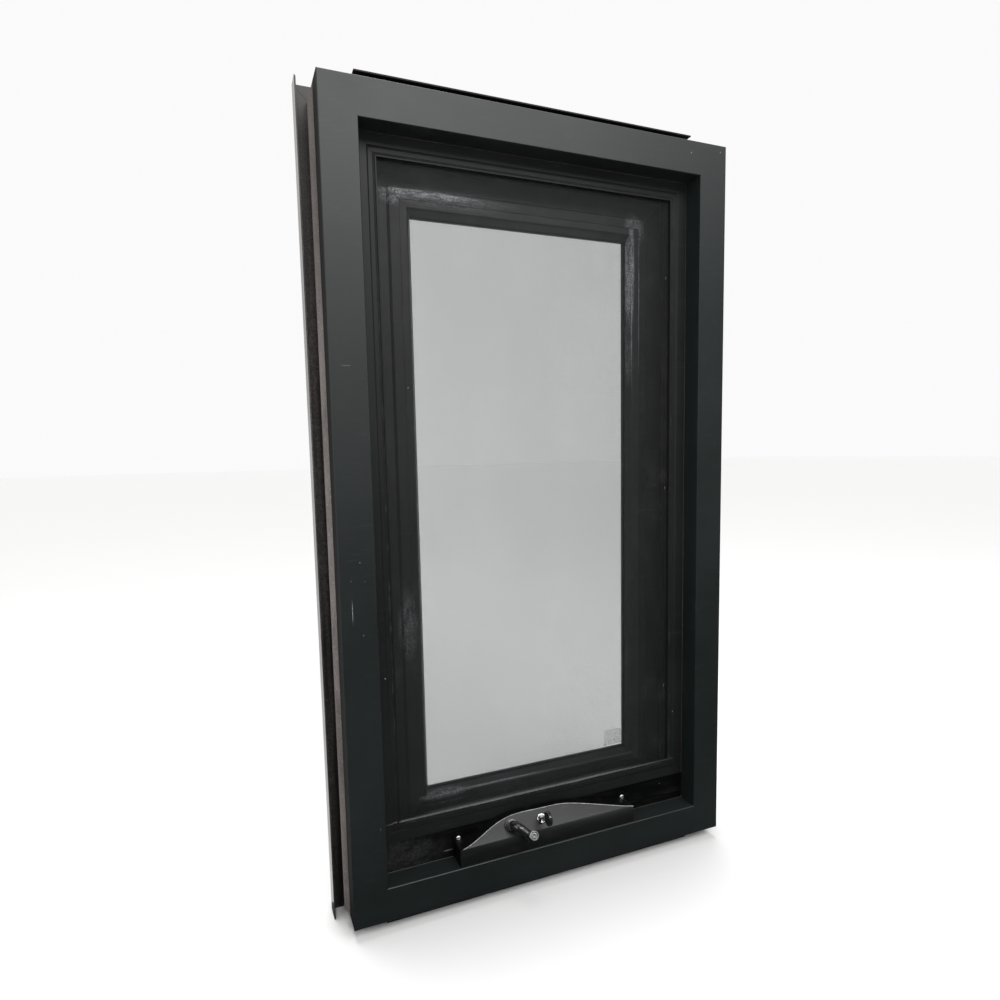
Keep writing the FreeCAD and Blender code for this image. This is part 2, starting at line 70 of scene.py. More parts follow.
def noise(tree, vector, scale, detail=3.0, rough=0.55, stretch=None):
    if stretch:
        mapping = tree.nodes.new("ShaderNodeMapping")
        mapping.inputs["Scale"].default_value = stretch
        tree.links.new(vector, mapping.inputs["Vector"])
        vector = mapping.outputs["Vector"]
    node = tree.nodes.new("ShaderNodeTexNoise")
    node.inputs["Scale"].default_value = scale
    node.inputs["Detail"].default_value = detail
    node.inputs["Roughness"].default_value = rough
    tree.links.new(vector, node.inputs["Vector"])
    return node.outputs["Fac"]


def ramp(tree, value, low, high, to_low=0.0, to_high=1.0):
    node = tree.nodes.new("ShaderNodeMapRange")
    node.interpolation_type = "SMOOTHSTEP"
    node.inputs["From Min"].default_value = low
    node.inputs["From Max"].default_value = high
    node.inputs["To Min"].default_value = to_low
    node.inputs["To Max"].default_value = to_high
    tree.links.new(value, node.inputs["Value"])
    return node.outputs["Result"]


def fade(tree, value, low, high):
    # Whole below the low value, gone above the high one
    return ramp(tree, value, low, high, to_low=1.0, to_high=0.0)


def feed(tree, node, place, value):
    # A socket is linked, and a plain value is set
    if isinstance(value, bpy.types.NodeSocket):
        tree.links.new(value, node.inputs[place])
    elif value is not None:
        node.inputs[place].default_value = value


def sums(tree, kind, first, second):
    node = tree.nodes.new("ShaderNodeMath")
    node.operation = kind
    feed(tree, node, 0, first)
    feed(tree, node, 1, second)
    return node.outputs["Value"]


def vectors(tree, kind, first, second=None):
    node = tree.nodes.new("ShaderNodeVectorMath")
    node.operation = kind
    feed(tree, node, 0, first)
    feed(tree, node, 1, second)
    return node.outputs["Value" if kind in ("LENGTH", "DOT_PRODUCT") else "Vector"]


def mixed(tree, share, first, second):
    # A Mix node has its factor at socket 0, its colours at 6 and 7, and gives the mix at 2
    node = tree.nodes.new("ShaderNodeMix")
    node.data_type = "RGBA"
    feed(tree, node, 0, share)
    feed(tree, node, 6, first)
    feed(tree, node, 7, second)
    return node.outputs[2]


# A patch laid on a coat, used both for wiped dust and for painted light: an oval that is ragged at its
# edge and grainy inside
patch_group, patch_in, patch_out = shader_group(
    "dust_and_light_patch",
    [("Vector", "NodeSocketVector", None), ("Centre", "NodeSocketVector", (0, 0, 0)),
     ("Half Size", "NodeSocketVector", (0.01, 0.01, 0.01)), ("Strength", "NodeSocketFloat", 1.0)],
    [("Mask", "NodeSocketFloat")])
away = vectors(patch_group, "SUBTRACT", patch_in.outputs["Vector"], patch_in.outputs["Centre"])
share = vectors(patch_group, "DIVIDE", away, patch_in.outputs["Half Size"])
inside = fade(patch_group, vectors(patch_group, "LENGTH", share), 0.45, 1.15)
grains = noise(patch_group, patch_in.outputs["Vector"], scale=480.0, detail=5.0, rough=0.75)
wipes = noise(patch_group, share, scale=3.5, detail=6.0, rough=0.7)
grainy = ramp(patch_group, grains, 0.40, 0.64, to_low=0.25)
wiped = ramp(patch_group, wipes, 0.34, 0.58, to_low=0.15)
blotch = sums(patch_group, "MULTIPLY", inside, sums(patch_group, "MULTIPLY", grainy, wiped))
mask = sums(patch_group, "MULTIPLY", blotch, patch_in.outputs["Strength"])
patch_group.links.new(mask, patch_out.inputs["Mask"])

# The coat itself, with its film of dust, which lies thicker on what faces up, and the patches laid on it,
# some of dust and some of painted light
coat_group, coat_in, coat_out = shader_group(
    "powder_coat",
    [("Vector", "NodeSocketVector", None), ("Coat", "NodeSocketColor", (0.05, 0.055, 0.055, 1)),
     ("Dust", "NodeSocketColor", (0.3, 0.3, 0.29, 1)), ("Dust Amount", "NodeSocketFloat", 0.1),
     ("Dust And Light Patches", "NodeSocketFloat", 0.0), ("Roughness", "NodeSocketFloat", 0.5)],
    [("Color", "NodeSocketColor"), ("Roughness", "NodeSocketFloat"), ("Height", "NodeSocketFloat")])
where = coat_in.outputs["Vector"]
cloud = noise(coat_group, where, scale=5.0, detail=4.0)
speck = noise(coat_group, where, scale=420.0, detail=6.0, rough=0.7)
peel = noise(coat_group, where, scale=1500.0, detail=2.0)
rubbed = noise(coat_group, where, scale=26.0, detail=6.0, rough=0.7, stretch=(1.0, 1.0, 9.0))
geometry = coat_group.nodes.new("ShaderNodeNewGeometry")
facing = coat_group.nodes.new("ShaderNodeSeparateXYZ")
coat_group.links.new(geometry.outputs["Normal"], facing.inputs["Vector"])
settled = ramp(coat_group, facing.outputs["Z"], 0.2, 1.0, to_low=1.0, to_high=1.8)
clouded = ramp(coat_group, cloud, 0.3, 0.75, to_low=0.3)
film = sums(coat_group, "MULTIPLY", clouded, coat_in.outputs["Dust Amount"])
film = sums(coat_group, "MULTIPLY", film, settled)
specks = sums(coat_group, "MULTIPLY", ramp(coat_group, speck, 0.6, 0.8), film)
film = sums(coat_group, "ADD", film, specks)
flecks = coat_group.nodes.new("ShaderNodeTexVoronoi")
flecks.inputs["Scale"].default_value = 38.0
coat_group.links.new(where, flecks.inputs["Vector"])
rare = coat_group.nodes.new("ShaderNodeSeparateColor")
coat_group.links.new(flecks.outputs["Color"], rare.inputs["Color"])
fleck = sums(coat_group, "MULTIPLY", fade(coat_group, flecks.outputs["Distance"], 0.02, 0.035),
             ramp(coat_group, rare.outputs["Red"], 0.80, 0.84))
fleck = sums(coat_group, "MULTIPLY", fleck, 0.8)
# Dust, painted-light patches and flecks pale the coat alike
dust_and_painted_light = sums(coat_group, "MAXIMUM", film, coat_in.outputs["Dust And Light Patches"])
dust_and_painted_light = sums(coat_group, "MAXIMUM", dust_and_painted_light, fleck)
worn = sums(coat_group, "MULTIPLY", ramp(coat_group, rubbed, 0.5, 0.75), 0.03)
paler = sums(coat_group, "MAXIMUM", dust_and_painted_light, worn)
shade = mixed(coat_group, paler, coat_in.outputs["Coat"], coat_in.outputs["Dust"])
coat_group.links.new(shade, coat_out.inputs["Color"])
uneven = ramp(coat_group, cloud, 0.3, 0.7, to_low=-0.03, to_high=0.04)
rough = sums(coat_group, "ADD", coat_in.outputs["Roughness"], uneven)
rough = sums(coat_group, "ADD", rough, sums(coat_group, "MULTIPLY", dust_and_painted_light, 0.5))
coat_group.links.new(rough, coat_out.inputs["Roughness"])
relief = sums(coat_group, "ADD", sums(coat_group, "MULTIPLY", peel, 0.6),
              sums(coat_group, "MULTIPLY", speck, 0.4))
coat_group.links.new(relief, coat_out.inputs["Height"])


def material(name):
    made = bpy.data.materials.new(name)
    made.use_nodes = True
    tree = made.node_tree
    shader = tree.nodes["Principled BSDF"]
    place = tree.nodes.new("ShaderNodeTexCoord")
    return made, tree, shader, place.outputs["Object"]


def bump(tree, shader, height, strength, distance=0.1 * MM):
    node = tree.nodes.new("ShaderNodeBump")
    node.inputs["Strength"].default_value = strength
    node.inputs["Distance"].default_value = distance
    tree.links.new(height, node.inputs["Height"])
    tree.links.new(node.outputs["Normal"], shader.inputs["Normal"])


def coated(name, coat, dust_and_light_amount, roughness, specular=0.5, dust_and_light_tone=(0.40, 0.41, 0.41, 1), dust_and_light_patches=()):
    # Each patch is given by its middle, its half size along x, y and z, and its strength. The patches and
    # the pale tone serve both for dust and, on some coats, for painted light
    made, tree, shader, place = material(name)
    group = tree.nodes.new("ShaderNodeGroup")
    group.node_tree = coat_group
    group.inputs["Coat"].default_value = coat
    group.inputs["Dust"].default_value = dust_and_light_tone
    group.inputs["Dust Amount"].default_value = dust_and_light_amount
    group.inputs["Roughness"].default_value = roughness
    tree.links.new(place, group.inputs["Vector"])
    total = None
    for centre, half, strength in dust_and_light_patches:
        patch = tree.nodes.new("ShaderNodeGroup")
        patch.node_tree = patch_group
        patch.inputs["Centre"].default_value = centre
        patch.inputs["Half Size"].default_value = half
        patch.inputs["Strength"].default_value = strength
        tree.links.new(place, patch.inputs["Vector"])
        total = sums(tree, "MAXIMUM", total, patch.outputs["Mask"]) if total else patch.outputs["Mask"]
    if total:
        tree.links.new(total, group.inputs["Dust And Light Patches"])
    tree.links.new(group.outputs["Color"], shader.inputs["Base Color"])
    tree.links.new(group.outputs["Roughness"], shader.inputs["Roughness"])
    shader.inputs["Specular IOR Level"].default_value = specular
    bump(tree, shader, group.outputs["Height"], strength=0.25, distance=0.2 * MM)
    return made


def dress(name, finish, ease=0.4, segments=2, rounded=False):
    # The edges are eased by so many millimetres
    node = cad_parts[name]
    node.data.materials.clear()
    node.data.materials.append(finish)
    for face in node.data.polygons:
        face.use_smooth = rounded
    weld = node.modifiers.new("joined", "WELD")
    weld.merge_threshold = WELD_GAP
    flat = node.modifiers.new("flat", "DECIMATE")
    flat.decimate_type = "DISSOLVE"
    flat.angle_limit = FLAT_WITHIN
    bevel = node.modifiers.new("eased", "BEVEL")
    bevel.width = ease * MM
    bevel.segments = segments
    bevel.limit_method = "ANGLE"
    bevel.angle_limit = CORNER_OVER
    bevel.harden_normals = rounded
    return node


def recoat(piece, finish, belongs):
    # The faces that belong to the second finish take it in place of the first
    piece.data.materials.append(finish)
    for face in piece.data.polygons:
        if belongs(face):
            face.material_index = 1


trim_marks = (
    ((-0.2847, ROOM_FACE, 0.448), (0.0005, 0.01, 0.017), 0.8),
    ((-0.2730, ROOM_FACE, 0.511), (0.0009, 0.01, 0.0009), 1.0),
    ((-0.2850, ROOM_FACE, 0.488), (0.0007, 0.01, 0.0007), 0.8),
    ((-0.2676, ROOM_FACE, 0.486), (0.0007, 0.01, 0.0007), 0.5),
    ((-0.2720, ROOM_FACE, 0.4165), (0.0009, 0.01, 0.0009), 1.0),
    ((-0.2604, ROOM_FACE, 0.1514), (0.0007, 0.01, 0.003), 0.5),
    ((-0.2800, ROOM_FACE, 0.756), (0.007, 0.01, 0.0006), 0.5),
)
trim_coat = coated("trim_coat", (0.0052, 0.0090, 0.0085, 1), dust_and_light_amount=0.012, roughness=0.45,
                   dust_and_light_patches=trim_marks)
# Painted shade: the outer side walls of the trim take a matt, brownish copy of the coat with almost no
# sheen
side_shade_coat = coated("side_shade_coat", (0.0085, 0.0075, 0.0070, 1), dust_and_light_amount=0.02, roughness=0.7,
                   specular=0.06)
outward = {"head": Vector((0, 0, 1)), "sill": Vector((0, 0, -1)),
           "left": Vector((-1, 0, 0)), "right": Vector((1, 0, 0))}
for side, way in outward.items():
    member = dress("inner_frame_" + side, trim_coat, ease=0.03)
    recoat(member, side_shade_coat, lambda face: face.normal.dot(way) > SQUARELY)

# Polyamide strips keep the cold outer half of the frame from the inner one.
# They are extruded glass-filled plastic, brownish grey with builders' dust
# that catches the light in small grains, and painted shade darkens them towards the head and the sill.
strip, tree, shader, place = material("polyamide_strip")
grains = noise(tree, place, scale=620.0, detail=3.0, rough=0.8)
drift = noise(tree, place, scale=24.0, detail=6.0, rough=0.75, stretch=(1.0, 1.0, 0.35))
tone = mixed(tree, ramp(tree, drift, 0.3, 0.7), (0.080, 0.066, 0.062, 1), (0.18, 0.158, 0.150, 1))
tone = mixed(tree, ramp(tree, grains, 0.56, 0.74), tone, (0.48, 0.44, 0.42, 1))
level = tree.nodes.new("ShaderNodeSeparateXYZ")
tree.links.new(place, level.inputs["Vector"])
# Painted shade: a darker brown laid over the strips towards the head and the sill
head_and_sill_shade = sums(tree, "ADD", ramp(tree, level.outputs["Z"], 0.70, 1.00),
            fade(tree, level.outputs["Z"], 0.12, 0.40))
tone = mixed(tree, sums(tree, "MULTIPLY", head_and_sill_shade, 0.45), tone, (0.055, 0.043, 0.040, 1))
tree.links.new(tone, shader.inputs["Base Color"])
tree.links.new(ramp(tree, drift, 0.2, 0.8, to_low=0.6, to_high=0.9), shader.inputs["Roughness"])
bump(tree, shader, grains, strength=0.8, distance=0.4 * MM)
for side in outward:
    dress("thermal_break_" + side, strip, ease=0.2, rounded=True)

# The outer half carries the fin with its lip, the ledge behind the screen and
# the sash stop. It has the same coat. A brownish patch down the left fin is a
# painted reflection, a thin pale line beside it is a painted highlight, and the
# outermost faces of both side fins take a paler copy of the coat, painted light.
fin_painted_light = (
    # painted reflection: a brownish patch down the left fin
    ((-0.318, 0.02, 0.700), (0.024, 0.2, 0.9), 0.60),
    # painted highlight: a thin pale line down the left fin
    ((-0.318, -0.026, 0.557), (0.003, 0.008, 1.6), 1.0),
)
body_coat = coated("body_coat", (0.007, 0.0075, 0.0072, 1), dust_and_light_amount=0.02, roughness=0.45,
                   dust_and_light_tone=(0.20, 0.165, 0.15, 1), dust_and_light_patches=fin_painted_light)
# Painted light: a paler, glossier copy of the coat for the outermost faces of the side fins
lip_highlight_coat = coated("lip_highlight_coat", (0.030, 0.029, 0.028, 1), dust_and_light_amount=0.35, roughness=0.20,
                  dust_and_light_tone=(0.46, 0.44, 0.42, 1))
low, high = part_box("outer_frame_right")
fin_edge = high[0] - 0.5 * MM
for side in outward:
    dress("outer_frame_" + side, body_coat, ease=0.25)
for side in ("left", "right"):
    way = outward[side]
    recoat(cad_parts["outer_frame_" + side], lip_highlight_coat,
           lambda face: face.normal.dot(way) > SQUARELY and abs(face.center.x) > fin_edge)

# Flat aluminium plates lie over the head and under the sill, and the raised
# part of the sill stands behind the winder. The plates are coated a little
# darker. The upstand's near-black coat is painted shade, with a faint pale patch
# at its left and a short pale dash above the left winder screw, painted light.
plate_coat = coated("plate_coat", (0.006, 0.006, 0.006, 1), dust_and_light_amount=0.01, roughness=0.6,
                    specular=0.3)
dress("fixing_plates", plate_coat, ease=0.25)
upstand_painted_light = (
    # painted highlight: a short pale dash above the left winder screw
    ((-0.157, -0.022, 0.0765), (0.008, 0.004, 0.0012), 0.7),
    # painted light: a faint pale patch at the left
    ((-0.250, -0.020, 0.080), (0.100, 0.060, 0.060), 0.07),
)
upstand_shade_coat = coated("upstand_shade_coat", (0.0012, 0.0014, 0.0014, 1), dust_and_light_amount=0.0015, roughness=0.40,
                      specular=0.20, dust_and_light_patches=upstand_painted_light)
dress("sill_upstand", upstand_shade_coat, ease=0.25)

# The sash is mitred from its own hollow extrusion, with clip-in beads that
# hold the pane. Dust was wiped about on the top rail, down the left stile, in
# the upper right corner and on the bead at the sill. Thin pale lines down the
# right stile and bead are painted highlights, and the pale line along the bead
# at the sill is dust and painted highlight in one. The bottom rail and the right
# stile take a darker copy of the coat, painted shade.
rail_marks = (
    ((-0.145, 0.013, 0.9955), (0.080, 0.02, 0.0075), 1.25),
    ((-0.120, 0.013, 0.9920), (0.110, 0.02, 0.0140), 0.30),
    ((-0.196, 0.013, 0.405), (0.016, 0.02, 0.055), 0.22),
)
sash_dust_and_highlights = rail_marks + (
    ((-0.192, 0.013, 0.9890), (0.026, 0.02, 0.0140), 0.55),
    ((0.180, 0.013, 0.983), (0.019, 0.02, 0.028), 0.42),
    # painted highlight: a thin pale line down the right stile
    ((0.1895, 0.013, 0.880), (0.0008, 0.03, 0.120), 0.8),
    ((0.183, 0.013, 0.900), (0.004, 0.02, 0.090), 0.20),
    ((-0.145, 0.013, 0.137), (0.050, 0.02, 0.008), 0.22),
    ((0.060, 0.013, 0.141), (0.090, 0.02, 0.006), 0.12),
)
bead_dust_and_highlights = rail_marks + (
    ((0.176, 0.015, 0.920), (0.006, 0.03, 0.090), 0.9),
    # painted highlight: a thin pale line down the right bead
    ((0.1775, 0.015, 0.870), (0.0008, 0.03, 0.130), 1.0),
    # dust and painted highlight along the bead at the sill
    ((-0.070, 0.013, 0.1445), (0.110, 0.02, 0.0012), 0.7),
    ((-0.150, 0.013, 0.1440), (0.045, 0.02, 0.007), 0.45),
    ((-0.158, 0.012, 0.1535), (0.016, 0.02, 0.002), 0.9),
    ((0.174, 0.015, 0.800), (0.004, 0.02, 0.060), 0.25),
)
sash_dust_and_highlight_tone = (0.74, 0.77, 0.79, 1)
sash_coat = coated("sash_coat", (0.010, 0.0107, 0.0113, 1), dust_and_light_amount=0.018, roughness=0.45,
                   dust_and_light_tone=sash_dust_and_highlight_tone, dust_and_light_patches=sash_dust_and_highlights)
# Painted shade: a darker copy of the sash coat for the bottom rail and the right stile
shaded_sash_coat = coated("sash_coat_shaded", (0.0048, 0.0052, 0.0056, 1), dust_and_light_amount=0.004, roughness=0.45,
                    specular=0.33, dust_and_light_tone=sash_dust_and_highlight_tone, dust_and_light_patches=sash_dust_and_highlights)
bead_coat = coated("bead_coat", (0.010, 0.0107, 0.0113, 1), dust_and_light_amount=0.016, roughness=0.40,
                   dust_and_light_tone=(0.74, 0.78, 0.80, 1), dust_and_light_patches=bead_dust_and_highlights)
for name, coat in (("sash_top_rail", sash_coat), ("sash_bottom_rail", shaded_sash_coat),
                   ("sash_left_stile", sash_coat), ("sash_right_stile", shaded_sash_coat)):
    dress(name, coat, ease=0.25)
for side in ("top", "bottom", "left", "right"):
    dress("glazing_bead_" + side, bead_coat, ease=0.3)

# Two gaskets grip the pane, two seals run round the closed sash, and a spline
# holds the insect cloth. All are extruded black rubber with a faint bloom.
rubber, tree, shader, place = material("seal_rubber")
bloom = noise(tree, place, scale=60.0, detail=5.0, rough=0.7)
black = mixed(tree, ramp(tree, bloom, 0.45, 0.75), (0.008, 0.008, 0.008, 1), (0.028, 0.028, 0.027, 1))
tree.links.new(black, shader.inputs["Base Color"])
tree.links.new(ramp(tree, bloom, 0.2, 0.8, to_low=0.6, to_high=0.85), shader.inputs["Roughness"])
shader.inputs["Specular IOR Level"].default_value = 0.25
bump(tree, shader, noise(tree, place, scale=1800.0), strength=0.4)
for name in ("glazing_gaskets", "inner_sash_seal", "outer_sash_seal", "screen_spline"):
    dress(name, rubber, ease=0.2)

# One clear float pane, slightly smeared, is set between the gaskets. Float
# glass is never quite flat, so what shows in it wavers a little.
glass, tree, shader, place = material("float_glass")
smear = noise(tree, place, scale=9.0, detail=4.0, rough=0.6, stretch=(1.0, 1.0, 0.35))
tint = mixed(tree, ramp(tree, smear, 0.3, 0.7), (0.80, 0.83, 0.82, 1), (0.84, 0.865, 0.85, 1))
tree.links.new(tint, shader.inputs["Base Color"])
tree.links.new(ramp(tree, smear, 0.2, 0.9, to_high=0.012), shader.inputs["Roughness"])
shader.inputs["Transmission Weight"].default_value = 1.0
shader.inputs["IOR"].default_value = 1.45
bump(tree, shader, noise(tree, place, scale=5.0, detail=1.0), strength=0.02, distance=0.5 * MM)
dress("glass_pane", glass, ease=0.3)

# A small blank label of clear film is stuck in the lower right corner of the
# pane, on the room side. Its face is greyed by a fine grain.
label_x = 0.150
label_z = 0.170
label_width = 0.034
label_height = 0.026
label_film = 0.1 * MM
film_skin, tree, shader, place = material("label_film")
dots = noise(tree, place, scale=420.0, detail=4.0, rough=0.8)
grey_dots = ramp(tree, dots, 0.42, 0.6, to_low=0.08, to_high=0.32)
greyed = mixed(tree, grey_dots, (0.55, 0.57, 0.56, 1), (0.8, 0.8, 0.8, 1))
tree.links.new(greyed, shader.inputs["Base Color"])
tree.links.new(grey_dots, shader.inputs["Alpha"])
shader.inputs["Roughness"].default_value = 0.35
low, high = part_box("glass_pane")
label_y = low[1] - 0.06 * MM
bpy.ops.mesh.primitive_cube_add(size=1.0, location=(label_x, label_y, label_z))
label = bpy.context.object
label.name = "pane_label"
label.scale = (label_width, label_film, label_height)
bpy.ops.object.transform_apply(location=True, rotation=True, scale=True)
round_off = label.modifiers.new("corners", "BEVEL")
round_off.width = 0.04 * MM
round_off.segments = 2
bpy.ops.object.modifier_apply(modifier="corners")
label.data.materials.append(film_skin)
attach(label, "window")

# The insect screen has a frame of roll-formed aluminium, coated like the
# window. A pale line along the lip of its bottom length is a painted highlight,
# and the face of that length which leans back takes a darker, matt copy of the
# coat, painted shade.
# Painted highlight: a pale line along the lip of the bottom length
screen_lip_highlight = (
    ((-0.040, -0.020, 0.1355), (0.300, 0.004, 0.0016), 0.75),
)
screen_coat = coated("screen_coat", (0.006, 0.0068, 0.0068, 1), dust_and_light_amount=0.015, roughness=0.46,
                     specular=0.26, dust_and_light_patches=screen_lip_highlight)
# Painted shade: a darker, matt copy of the coat for the face that leans back
shaded_chamfer_coat = coated("screen_coat_shaded", (0.0020, 0.0022, 0.0022, 1), dust_and_light_amount=0.004, roughness=0.60,
                   specular=0.06)
for side in ("top", "bottom", "left", "right"):
    dress("screen_" + side, screen_coat, ease=0.25)
leaning = 0.3
recoat(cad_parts["screen_bottom"], shaded_chamfer_coat,
       lambda face: face.normal.z > leaning and face.normal.y < -leaning)

# The screen's cloth is thin black coated glass-fibre yarn, pressed into the
# groove of its frame: the upright yarns lie before the crossing ones.
YARN = 0.2 * MM
YARN_PITCH = 1.12 * MM
yarn, tree, shader, place = material("mesh_yarn")
fluff = noise(tree, place, scale=22.0, detail=6.0, rough=0.75)
black = mixed(tree, ramp(tree, fluff, 0.5, 0.8), (0.016, 0.017, 0.018, 1), (0.05, 0.05, 0.05, 1))
tree.links.new(black, shader.inputs["Base Color"])
tree.links.new(ramp(tree, fluff, 0.2, 0.8, to_low=0.5, to_high=0.8), shader.inputs["Roughness"])
low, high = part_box("screen_mesh")
middle = (Vector(low) + Vector(high)) / 2


def yarns(name, along, across, behind):
    # One straight yarn at the first edge, repeated over the whole panel
    centre = middle.copy()
    centre[across] = low[across] + YARN_PITCH / 2
    centre.y = middle.y + behind
    bpy.ops.mesh.primitive_cube_add(size=1.0, location=centre)
    one = bpy.context.object
    one.name = name
    size = Vector((YARN, YARN, YARN))
    size[along] = high[along] - low[along]
    one.scale = size
    bpy.ops.object.transform_apply(location=True, rotation=True, scale=True)
    repeat = one.modifiers.new("repeat", "ARRAY")
    repeat.count = int((high[across] - low[across]) / YARN_PITCH)
    repeat.use_relative_offset = False
    repeat.use_constant_offset = True
    step = Vector((0.0, 0.0, 0.0))
    step[across] = YARN_PITCH
    repeat.constant_offset_displace = step
    bpy.ops.object.modifier_apply(modifier="repeat")
    return one


WIDE, TALL = 0, 2
uprights = yarns("screen_cloth", along=TALL, across=WIDE, behind=-YARN / 2)
crossing = yarns("screen_weft", along=WIDE, across=TALL, behind=YARN / 2)
uprights.select_set(True)
crossing.select_set(True)
bpy.context.view_layer.objects.active = uprights
bpy.ops.object.join()
cloth = bpy.context.object
cloth.data.materials.append(yarn)
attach(cloth, "window")
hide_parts("screen_mesh")

# Friction stays of drawn stainless strip sit in the gaps beside the sash and
# hold it where it is pushed. They are screwed to the frame and the stiles.
steel, tree, shader, place = material("stay_steel")
drawn = noise(tree, place, scale=60.0, detail=4.0, rough=0.6, stretch=(8.0, 8.0, 0.2))
grey = mixed(tree, drawn, (0.5, 0.5, 0.49, 1), (0.34, 0.34, 0.33, 1))
tree.links.new(grey, shader.inputs["Base Color"])
tree.links.new(ramp(tree, drawn, 0.2, 0.8, to_low=0.3, to_high=0.5), shader.inputs["Roughness"])
shader.inputs["Metallic"].default_value = 1.0
bump(tree, shader, drawn, strength=0.2)
for side in ("left", "right"):
    dress("friction_stay_" + side, steel, ease=0.2)

# Zinc plated steel screws with a pan head and a cross recess hold the sash
# stops, three on each side, and two more hold the winder to the sill.
zinc, tree, shader, place = material("zinc_screw")
haze = noise(tree, place, scale=700.0, detail=4.0, rough=0.7)
grey = mixed(tree, ramp(tree, haze, 0.35, 0.75), (0.92, 0.92, 0.90, 1), (0.7, 0.7, 0.68, 1))
tree.links.new(grey, shader.inputs["Base Color"])
tree.links.new(ramp(tree, haze, 0.2, 0.8, to_low=0.25, to_high=0.5), shader.inputs["Roughness"])
shader.inputs["Metallic"].default_value = 1.0
bump(tree, shader, haze, strength=0.2)


def pan_screws(name, places, radius, height, turns):
    # Half domes, all facing the room, with a cross of two bars cut about half way down
    parts = []
    bar = (radius * 1.1, radius * 0.26, height * 1.1)
    for (x, y, z), turn in zip(places, turns):
        bpy.ops.mesh.primitive_uv_sphere_add(segments=32, ring_count=16, radius=radius, location=(0, 0, 0))
        head = bpy.context.object
        head.scale = (1.0, 1.0, height / radius)
        bpy.ops.object.transform_apply(location=True, rotation=True, scale=True)
        bpy.ops.object.mode_set(mode="EDIT")
        bpy.ops.mesh.select_all(action="SELECT")
        bpy.ops.mesh.bisect(plane_co=(0, 0, 0), plane_no=(0, 0, 1), use_fill=True, clear_inner=True)
        bpy.ops.object.mode_set(mode="OBJECT")
        for arm in (0.0, math.pi / 2):
            bpy.ops.mesh.primitive_cube_add(size=1.0, location=(0, 0, height), rotation=(0, 0, arm + turn))
            cutter = bpy.context.object
            cutter.scale = bar
            cut = head.modifiers.new("recess", "BOOLEAN")
            cut.object = cutter
            cut.solver = "EXACT"
            bpy.context.view_layer.objects.active = head
            bpy.ops.object.modifier_apply(modifier="recess")
            bpy.data.objects.remove(cutter)
        bpy.ops.object.select_all(action="DESELECT")
        head.select_set(True)
        bpy.context.view_layer.objects.active = head
        bpy.ops.object.shade_smooth_by_angle(angle=math.radians(40))
        head.rotation_euler = (math.radians(90), 0, 0)
        head.location = (x, y, z)
        bpy.ops.object.transform_apply(location=True, rotation=True, scale=True)
        parts.append(head)
    for part in parts:
        part.select_set(True)
    bpy.context.view_layer.objects.active = parts[0]
    bpy.ops.object.join()
    made = bpy.context.object
    made.name = name
    made.data.materials.append(zinc)
    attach(made, "window")
    return made


low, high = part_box("stop_screws")
stop_in = 3.5 * MM
stop_places = [(x, high[1], z) for x in (low[0] + stop_in, high[0] - stop_in)
               for z in (low[2] + stop_in, (low[2] + high[2]) / 2, high[2] - stop_in)]
heads = pan_screws("stop_screw_heads", stop_places, radius=3.4 * MM, height=2.4 * MM,
                   turns=(0.3, 1.0, 0.7, 0.2, 1.3, 0.5))
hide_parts("stop_screws")
low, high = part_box("winder_screws")
winder_in = 4 * MM
winder_places = [(x, high[1], (low[2] + high[2]) / 2) for x in (low[0] + winder_in, high[0] - winder_in)]
heads = pan_screws("winder_screw_heads", winder_places, radius=3.9 * MM, height=2.1 * MM,
                   turns=(0.5, 1.1))
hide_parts("winder_screws")

# Chain winder: a die-cast cover with a sloped face on a flat back plate. Its
# fine satin coat is smoother than the frame's. The top, end and inner walls,
# which stand square to the frame, take a darker copy of it, painted shade.
winder_coat = coated("winder_coat", (0.005, 0.0054, 0.0058, 1), dust_and_light_amount=0.004, roughness=0.36,
                     specular=0.32)
# Painted shade: a darker copy of the winder coat for the walls square to the frame
flank_shade_coat = coated("flank_shade_coat", (0.0014, 0.0015, 0.0016, 1), dust_and_light_amount=0.001, roughness=0.45,
                    specular=0.15)
edge_on = 0.1
cover = dress("winder_cover", winder_coat, ease=1.1, segments=3, rounded=True)
recoat(cover, flank_shade_coat, lambda face: abs(face.normal.y) < edge_on)

# A painted highlight runs along the crest of the sloped face: a thin pale
# bead laid on the cover's own edge, from one foot to the other.
SLOPE = math.radians(57)
lean = Vector((0.0, -math.sin(SLOPE), math.cos(SLOPE)))
crest_radius = 0.42 * MM
foot_low = 0.2 * MM
foot_high = 0.6 * MM
bpy.ops.object.select_all(action="DESELECT")
cover.select_set(True)
bpy.context.view_layer.objects.active = cover
bpy.ops.object.duplicate()
shell = bpy.context.object
shell.modifiers.clear()
bpy.ops.object.mode_set(mode="EDIT")
bpy.ops.mesh.select_mode(type="FACE")
bpy.ops.mesh.select_all(action="SELECT")
bpy.ops.mesh.remove_doubles(threshold=WELD_GAP)
bpy.ops.mesh.select_all(action="DESELECT")
bpy.ops.object.mode_set(mode="OBJECT")
for face in shell.data.polygons:
    face.select = face.normal.dot(lean) > 0.99
bpy.ops.object.mode_set(mode="EDIT")
bpy.ops.mesh.region_to_loop()
bpy.ops.object.mode_set(mode="OBJECT")
rim = [edge for edge in shell.data.edges if edge.select]
foot = min(shell.data.vertices[v].co.z for edge in rim for v in edge.vertices)
for edge in rim:
    heights = [shell.data.vertices[v].co.z for v in edge.vertices]
    if min(heights) <= foot + foot_low and max(heights) <= foot + foot_high:
        edge.select = False
bpy.ops.object.mode_set(mode="EDIT")
bpy.ops.mesh.select_mode(type="EDGE")
bpy.ops.mesh.duplicate()
bpy.ops.mesh.separate(type="SELECTED")
bpy.ops.object.mode_set(mode="OBJECT")
